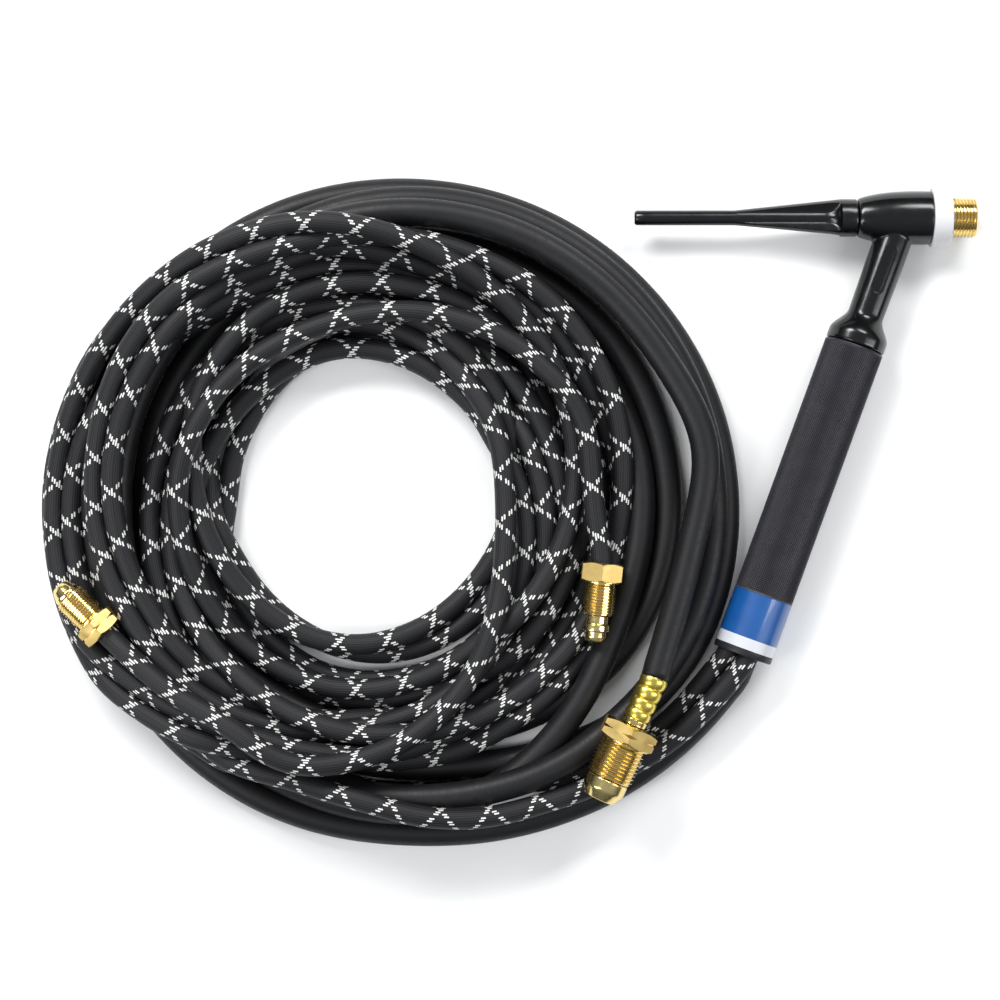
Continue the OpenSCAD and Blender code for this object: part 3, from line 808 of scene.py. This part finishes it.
# head
head = {
    "front": -9, "back": -43.6, "frontRadius": 12.65, "backRadius": 9,     # millimetres along the head's axis
    "threadRadius": 9.525, "threadLength": 12.3, "threadPitch": 1.5875,
    "bossRadius": 8.625, "bossFrom": -12, "coreRadius": 7.4, "coreBack": -40,
    "gasWay": 2.6, "collet": 5, "colletDepth": 14, "colletPitch": 1.27,
    "capThread": 5.56, "capThreadEnd": -33.2, "capOpening": 7.3,
    "neckRadius": 8.9, "neckMiddle": 8.5, "flareFrom": 49, "flareTo": 60, "bell": 14.2, "neckTo": 64.5,
    "spigot": 12.5, "spigotTo": 76.5,
    "panel": (15, 38.5, 2.7, 0.24),       # a recess on the neck: from, to, half its width, depth
    "voxel": 0.36,
}


def makeHead():
    steps = 24
    ogive = [(head["backRadius"] + (head["frontRadius"] - head["backRadius"]) * (1 - (1 - k / steps) ** 3.2),
              head["back"] + (head["front"] - head["back"]) * k / steps) for k in range(steps + 1)]
    rim = [(0, head["back"]), (ogive[0][0] - 0.5, head["back"]), (ogive[0][0], head["back"] + 0.5)]
    shell = turned(rim + ogive[1:] + [(0, head["front"])], 128)
    shell.data.transform(headAxis)
    flare = [(head["neckMiddle"] + (head["bell"] - head["neckMiddle"]) * ease(k / 16),
              head["flareFrom"] + (head["flareTo"] - head["flareFrom"]) * k / 16) for k in range(17)]
    neck = turned([(0, 2), (head["neckRadius"], 2), (head["neckRadius"], 22)] + flare
                  + softened([(head["bell"], head["neckTo"] - 3), (head["bell"], head["neckTo"]),
                              (head["spigot"], head["neckTo"])], 1.1)
                  + [(head["spigot"], head["spigotTo"]), (0, head["spigotTo"])], 128)
    neck.data.transform(handleAxis)
    combined(shell, neck, "UNION")
    for radius, start, end in ((head["bossRadius"], head["bossFrom"], 2),
                               (head["coreRadius"], head["coreBack"], head["bossFrom"] + 1),
                               (head["capOpening"], head["back"] - 2, head["coreBack"] + 0.5)):
        bore = cylinder(radius, start, end)
        bore.data.transform(headAxis)
        combined(shell, bore, "DIFFERENCE")
    for across, up, radius in ((powerCable["inHandle"] + (2.4,)), (coolantHose["inHandle"] + (2,)),
                               (gasHose["inHandle"] + (2,))):
        reach = 3.6 * mm / math.hypot(across, up)
        bore = cylinder(radius, 20, head["spigotTo"] + 2, 32)
        bore.data.transform(handleAxis @ Matrix.Translation((across * reach, up * reach, 0)))
        combined(shell, bore, "DIFFERENCE")
    remesh = shell.modifiers.new("even", "REMESH")
    remesh.mode = "VOXEL"
    remesh.voxel_size = head["voxel"] * mm
    remesh.adaptivity = 0
    smooth = shell.modifiers.new("soft", "SMOOTH")
    smooth.factor = 0.5
    smooth.iterations = 12
    evaluated(shell)
    pressPanel(shell.data)
    finished(shell, "headShell", Matrix(), headPlastic, "torch", "head_moulding", "head_shell", sharp=50)


def pressPanel(mesh):
    start, end, half, depth = head["panel"]
    count = len(mesh.vertices)
    co = np.empty(count * 3)
    mesh.vertices.foreach_get("co", co)
    co = co.reshape(-1, 3)
    tilt = math.radians(layout["neckTilt"])
    along = (-(co[:, 0] - layout["neckX"]) * math.sin(tilt) - co[:, 1] * math.cos(tilt)) / mm
    across = ((co[:, 0] - layout["neckX"]) * math.cos(tilt) - co[:, 1] * math.sin(tilt)) / mm
    middle, reach = (start + end) / 2, (end - start) / 2
    dx = np.maximum(np.abs(along - middle) - (reach - half), 0)
    edge = half - np.hypot(dx, across)
    sink = depth * np.clip((edge + 0.3) / 0.8, 0, 1) * (co[:, 2] > 4 * mm)
    co[:, 2] -= sink * mm
    mesh.vertices.foreach_set("co", co.ravel())
    mesh.update()


def makeCore():
    core = turned([(0, head["coreBack"]), (head["coreRadius"], head["coreBack"]),
                   (head["coreRadius"], head["bossFrom"]), (head["bossRadius"], head["bossFrom"]),
                   (head["bossRadius"], 0.6), (0, 0.6)])
    combined(core, threaded(head["threadRadius"], head["threadPitch"], 0, head["threadLength"]), "UNION")
    bottom = head["threadLength"] - head["colletDepth"]
    collet, top = head["collet"], head["threadLength"]
    mouth = turned([(0, bottom), (collet - 0.7, bottom), (collet - 0.7, top - 0.8), (collet + 0.3, top + 0.2),
                    (collet + 0.3, 20), (0, 20)])
    combined(core, mouth, "DIFFERENCE")
    combined(core, threaded(collet, head["colletPitch"], bottom + 1, top + 2, 48), "DIFFERENCE")
    combined(core, cylinder(head["gasWay"], head["coreBack"] - 1, 2, 48), "DIFFERENCE")
    combined(core, cylinder(head["capThread"], head["coreBack"] - 1, head["capThreadEnd"], 64), "DIFFERENCE")
    finished(core, "headCore", headAxis, brass, "torch", "brass_core", "head_core")


makeHead()
makeCore()

# heat shield
shield = {"from": -8.9, "to": 0, "inner": 9.585, "outer": 14.1, "edge": 0.9}


def makeShield():
    across = [(shield["inner"], shield["from"] + 1), (shield["inner"], shield["from"]),
              (shield["outer"], shield["from"]), (shield["outer"], shield["to"]),
              (shield["inner"], shield["to"]), (shield["inner"], shield["to"] - 1)]
    ring = turned(softened(across, shield["edge"], 5), 128, closed=True)
    finished(ring, "heatShield", headAxis, ptfe, "shield", "ptfe", "heat_shield", sharp=40)


makeShield()

# back cap
cap = {
    "tip": -149.2, "seat": -45.2, "rim": -43.95, "tube": 3.55, "collar": 8.9, "collarFrom": -51.5,
    "ribFrom": -101.7, "ribTo": -53, "ribs": 3, "ribHalf": 1.35,
    "scoop": 8, "scoopRise": 6,   # the flutes between the ribs end in a rounded scoop of that length
    "foot": 7,                 # how tightly a rib's wall turns into the tube
    "widestEdge": 0.77,        # sine of the widest angle that a rib's edge is followed to
    "thread": 5.5, "threadLength": 11, "pitch": 1.27, "bore": 2.2, "boreFrom": -143.2,
    "ringMiddle": 6.25, "ringRadius": 0.6,
}


def capRing(z):
    # radii and angles from the middle of a rib to the middle of a flute, with a point right on the rib's edge
    tube, half, foot = cap["tube"], cap["ribHalf"], cap["foot"]
    share = (z - cap["ribFrom"]) / (cap["ribTo"] - cap["ribFrom"])
    cone = tube + (cap["collar"] - tube) * min(max(share, 0), 1)
    t = min(max((z - (cap["collarFrom"] - cap["scoop"])) / cap["scoop"], 0), 1)
    lift = cap["scoopRise"] * (1 - math.sqrt(1 - t * t))
    room = max((cone - lift) ** foot - tube ** foot, 1e-6) ** (1 / foot)
    edge = math.asin(min(half / room, cap["widestEdge"]))

    def flute(off):
        return np.minimum((tube ** foot + (half / np.sin(off)) ** foot) ** (1 / foot) + lift, cone)
    off = np.linspace(edge, math.pi / cap["ribs"], 160)
    x, y = flute(off) * np.cos(off), flute(off) * np.sin(off)
    along = np.concatenate([[0], np.cumsum(np.hypot(np.diff(x), np.diff(y)))])
    wall = np.interp(np.linspace(0, along[-1], 23), along, off)
    top = edge * np.arange(8) / 8
    return np.concatenate([np.full(8, cone), flute(wall)]), np.concatenate([top, wall])


def makeCap():
    columns = 60               # for each rib and its flute
    around = columns * cap["ribs"]
    levels = [(-0.75, cap["tip"]), (-0.3, cap["tip"] + 0.5), (0, cap["tip"] + 1.1)]
    for start, end, count in ((cap["tip"] + 6, cap["ribFrom"] - 0.5, 14),
                              (cap["ribFrom"], cap["collarFrom"] - cap["scoop"] - 0.8, 53),
                              (cap["collarFrom"] - cap["scoop"], cap["collarFrom"] + 0.2, 34)):
        levels += [(0, z) for z in np.linspace(start, end, count)]
    levels += [(0, cap["seat"] - 4)]
    # the collar's rim reaches over the ring to the head
    levels += [(-0.02, cap["rim"] - 0.9), (-0.12, cap["rim"] - 0.4), (-0.4, cap["rim"] - 0.1),
               (-0.8, cap["rim"]), (-1.9, cap["rim"]), (-1.95, cap["seat"])]
    collar = cap["collar"]
    body = turned([(0, cap["tip"])] + [(collar + trim, z) for trim, z in levels] + [(0, cap["seat"])], around)
    rings = {}
    for v in body.data.vertices:
        size = math.hypot(v.co.x, v.co.y) / mm
        if size < 1:
            continue
        z = round(v.co.z / mm, 3)
        if z not in rings:
            rings[z] = capRing(z)
        rib, column = divmod(round(math.atan2(v.co.y, v.co.x) / math.tau * around) % around, columns)
        side = min(column, columns - column)
        r = (rings[z][0][side] + size - collar) * mm
        angle = rings[z][1][side] * (1 if column == side else -1)
        angle += (rib + (column > side)) * math.tau / cap["ribs"]
        v.co.x, v.co.y = r * math.cos(angle), r * math.sin(angle)
    screw = threaded(cap["thread"], cap["pitch"], cap["seat"] - 1, cap["seat"] + cap["threadLength"], 48)
    combined(body, screw, "UNION")
    combined(body, cylinder(cap["bore"], cap["boreFrom"], 0, 48), "DIFFERENCE")
    finished(body, "backCap", headAxis, capPlastic, "cap", "cap_moulding", "back_cap", sharp=32)
    middle = cap["seat"] + cap["ringRadius"] + 0.1
    circle = [(cap["ringMiddle"] + cap["ringRadius"] * math.cos(math.tau * k / 24),
               middle + cap["ringRadius"] * math.sin(math.tau * k / 24)) for k in range(24)]
    finished(turned(circle, 96, closed=True), "capRing", headAxis, rubberRing, "cap_carrier", "o_ring_rubber",
             "back_cap_o_ring")


makeCap()
print("head made")

# handle
handle = {
    "radius": 14.2, "bore": 12.5,
    "around": 140,             # two points of the mesh for each point of the knurl
    "knurlDepth": 0.34, "knurlFrom": 66.3,
    "row": 0.64,               # half the length of a knurl point along the handle
}


def makeHandle():
    start, end = layout["handleFrom"] / mm, layout["handleTo"] / mm
    knurlTo, labelTo = layout["knurlTo"] / mm, layout["labelTo"] / mm
    r, bore, around = handle["radius"], handle["bore"], handle["around"]
    low, row, depth = r - label["thick"], handle["row"], handle["knurlDepth"]
    rows = round((knurlTo - 0.7 - handle["knurlFrom"]) / row)
    profile = [(bore, start + 0.2), (bore + 0.2, start), (r - 0.9, start), (r - 0.25, start + 0.3),
               (r - 0.05, start + 0.9)]
    profile += [(r, handle["knurlFrom"] + row * k) for k in range(rows + 1)]
    profile += [(r - 0.02, knurlTo - 0.2), (low, knurlTo), (low, labelTo), (r - 0.02, labelTo + 0.1),
                (r, labelTo + 0.3), (r, end - 0.7), (r - 0.25, end - 0.2), (r - 0.7, end), (bore + 0.3, end),
                (bore, end - 0.3)]
    grip = turned(profile, around, closed=True)
    bm = bmesh.new()
    bm.from_mesh(grip.data)
    # every other point is pressed in, and faces are split so that grooves run from low point to low point
    knurl = set()
    for v in bm.verts:
        place = round((v.co.z / mm - handle["knurlFrom"]) / row)
        if 0 <= place <= rows and math.hypot(v.co.x, v.co.y) > (r - 0.01) * mm:
            knurl.add(v)
            if (place + round(math.atan2(v.co.y, v.co.x) / math.tau * around)) % 2 == 0:
                v.co.xy *= 1 - depth / r
    faces = [face for face in bm.faces if knurl.issuperset(face.verts)]
    bmesh.ops.triangulate(bm, faces=faces, quad_method="SHORT_EDGE")
    bm.to_mesh(grip.data)
    bm.free()
    # how high each point of the mesh stands, so that the grooves get painted shade and the points painted
    # highlight; the plain ends are set darker
    rise = grip.data.attributes.new("rise", "FLOAT", "POINT")
    rise.data.foreach_set("value", [
        (math.hypot(v.co.x, v.co.y) / mm - r) / depth + 1 if start + 1 < v.co.z / mm < knurlTo else 0.3
        for v in grip.data.vertices])
    finished(grip, "handleGrip", handleAxis, gripNylon, "torch", "handle_knurl", "handle", sharp=28)
    across = [(low + 0.002, knurlTo), (r, knurlTo), (r, labelTo), (low + 0.002, labelTo)]
    film = turned(across, 176, closed=True)
    finished(film, "handleLabel", handleAxis, labelFilm, "torch", "label_film", "handle_label")


makeHandle()
print("handle made")

# fittings
# distances along a fitting start at the end of its hose
fittings = {
    "hex": 9, "stem": 3.6, "hoseSeat": 5, "hoseBore": 5.3,
    "nutAcross": 18.6, "nutThread": 7.94, "nutThreadTo": 24.5, "nutPitch": 1.411, "stemFrom": 24.8,
    "powerAcross": 25.4, "powerThread": 11.11, "powerPitch": 1.814, "powerNutFrom": 22.8,
    "powerThreadTo": 49.8,
    "powerStem": 5, "powerNoseFrom": 50.1,
    "ferruleFrom": -2.6,
    "ferrule": [(6.65, 6), (6.6, 5.8), (6.5, 5.5), (6.3, 4.8)],   # radius and length of each bulge
    "ferruleValley": 5.6,
}


def hexNut(across, start, corner, grooved):
    # a hexagon crossed with a turned shape, which chamfers its corners
    radius = across / 2 / math.cos(math.radians(30))
    end = start + fittings["hex"]
    prism = turned([(0, start), (radius, start), (radius, end), (0, end)], 6)
    flat = across / 2
    profile = [(0, start), (flat - 0.35, start), (flat - 0.1, start + 0.15), (radius + 0.1, start + corner)]
    if grooved:
        middle = (start + end) / 2
        profile += [(radius + 0.1, middle - 0.8), (flat + 0.25, middle - 0.12), (flat + 0.25, middle + 0.12),
                    (radius + 0.1, middle + 0.8)]
    profile += [(radius + 0.1, end - corner), (flat - 0.1, end - 0.15), (flat - 0.35, end), (0, end)]
    return combined(prism, turned(profile, 144), "INTERSECT")


def makeNut(name, node, body, matrix, across, radius, pitch, start, end, bore, seat, corner, grooved):
    nut = hexNut(across, start, corner, grooved)
    hexEnd = start + fittings["hex"]
    neck = radius - 0.6 * pitch - 0.1
    combined(nut, turned(softened([(0, hexEnd - 1), (radius + 0.7, hexEnd - 1), (radius + 0.7, hexEnd + 0.35),
                                   (neck, hexEnd + 0.35), (neck, hexEnd + 1.6), (0, hexEnd + 1.6)], 0.15, 2)),
             "UNION")
    combined(nut, threaded(radius, pitch, hexEnd + 0.9, end), "UNION")
    combined(nut, cylinder(bore, start - 1, end + 1, 64), "DIFFERENCE")
    seatTo = start + (fittings["hoseSeat"] if seat > bore else 1)
    combined(nut, turned([(0, start - 1), (seat + 0.5, start - 1), (seat, start + 0.5), (seat, seatTo),
                          (0, start + 5)], 64), "DIFFERENCE")
    finished(nut, name, matrix, brass, body, "brass_fitting", node, sharp=30, flats=(start * mm, hexEnd * mm))


def makeFittings():
    gasPlace = fittingAxis(gasHose["fitting"], gasHose["fittingTurn"])
    coolantPlace = fittingAxis(coolantHose["fitting"], coolantHose["fittingTurn"])
    powerPlace = fittingAxis(powerCable["fitting"], powerCable["fittingTurn"])
    stem, first = fittings["stem"], fittings["stemFrom"]
    bored = [(2.4, 0), (2, -0.4), (2, -20)]
    gasOutline = [(stem, fittings["hoseSeat"]), (stem, first - 0.6), (5.35, first), (5.35, first + 1.6),
                  (5.35, first + 3.9), (6.25, first + 4.1), (6.25, first + 7.2), (5.1, first + 7.4),
                  (5, first + 10.2), (4.4, first + 11.7), (3.3, first + 12.5), (2.4, first + 12.6)]
    coolantOutline = [(stem, fittings["hoseSeat"]), (stem, first - 0.6), (6.1, first), (6.35, first + 0.3),
                      (6.35, first + 1.6), (5.9, first + 2.4), (4.8, first + 4.9), (3.3, first + 6.6),
                      (2.4, first + 6.8)]
    for name, node, outline, place in (("gasStem", "gas_fitting_stem", gasOutline, gasPlace),
                                       ("coolantStem", "coolant_fitting_stem", coolantOutline, coolantPlace)):
        top = outline[-1][1]
        bore = [(2, top - 0.4), (2, fittings["hoseSeat"])]
        solid = turned(softened(outline + bore, 0.35), 96, closed=True)
        finished(solid, name, place, brass, "torch", "brass_fitting", node)
    for name, node, body, place, grooved, corner in (
            ("gasNut", "gas_fitting_nut", "gas_nut", gasPlace, False, 1.1),
            ("coolantNut", "coolant_fitting_nut", "coolant_nut", coolantPlace, True, 1.0)):
        makeNut(name, node, body, place, fittings["nutAcross"], fittings["nutThread"], fittings["nutPitch"],
                0, fittings["nutThreadTo"], stem + 0.06, fittings["hoseBore"], corner, grooved)
    powerStem = fittings["powerStem"]
    makeNut("powerNut", "power_fitting_nut", "power_nut", powerPlace, fittings["powerAcross"],
            fittings["powerThread"], fittings["powerPitch"], fittings["powerNutFrom"],
            fittings["powerThreadTo"], powerStem + 0.06, powerStem + 0.06, 1.4, True)
    nose = fittings["powerNoseFrom"]
    outline = [(powerStem, 0), (powerStem, 19.5), (6, 19.6), (6, 22.5), (powerStem, 22.6),
               (powerStem, nose - 0.1), (9.5, nose), (10, nose + 0.5), (10, nose + 5), (9.6, nose + 6),
               (7.2, nose + 10.2), (4.2, nose + 10.2), (3, nose + 9.2), (3, 21)]
    solid = turned(softened(outline, 0.4) + [(0, 21), (0, 0)], 96, closed=True)
    finished(solid, "powerStem", powerPlace, brass, "torch", "brass_fitting", "power_fitting_stem")
    z = fittings["ferruleFrom"]
    bulges = [(fittings["ferruleValley"], z)]
    for radius, length in fittings["ferrule"]:
        for k in range(1, 11):
            rise = math.sin(math.pi * k / 10) if k < 10 else 0
            bulges.append((fittings["ferruleValley"] + (radius - fittings["ferruleValley"]) * rise ** 0.5,
                           z + length * k / 10))
        z += length
    inner = powerStem + 0.005
    solid = turned(bulges + [(inner, z), (inner, fittings["ferruleFrom"])], 96, closed=True)
    finished(solid, "powerFerrule", powerPlace, ferruleBrass, "torch", "brass_ferrule",
             "power_fitting_ferrule", sharp=60)


makeFittings()
print("fittings made")

# metal parts inside the handle, kept from the CAD model
for name in ("gas", "coolant", "power"):
    for part, material in (("tube", copper), ("coupler", brass)):
        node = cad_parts[f"{name}_{part}"]
        node.data.materials.clear()
        node.data.materials.append(material)
